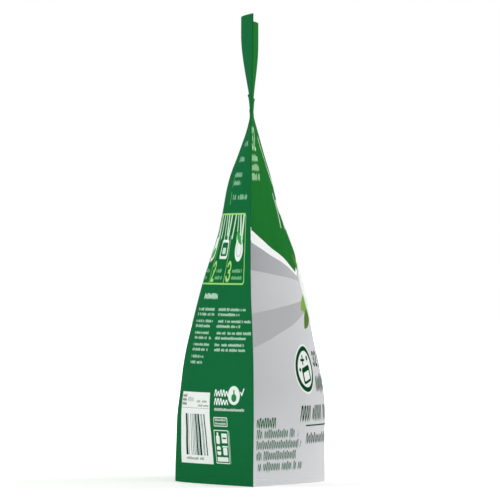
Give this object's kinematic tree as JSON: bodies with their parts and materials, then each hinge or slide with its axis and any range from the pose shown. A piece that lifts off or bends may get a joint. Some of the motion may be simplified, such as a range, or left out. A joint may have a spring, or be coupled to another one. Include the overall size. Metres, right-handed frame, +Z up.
{
  "type": "dishwasher pod bag",
  "caption": "Filled and sealed stand-up film pouch with a gusseted base, sealed sides, a press-to-close neck and a flat wavy header.",
  "frame": {"origin": "middle of the base, on the surface that the pouch stands on", "axes": "+Z up, X along the pouch's width, +Y towards the back panel, so the front panel faces -Y"},
  "size_m": [0.229, 0.0948, 0.292],
  "materials": {
    "printed_film": "satin printed plastic film, heat-sealed"
  },
  "bodies": {
    "root": {"pouch": "printed_film"}
  },
  "joints": []
}
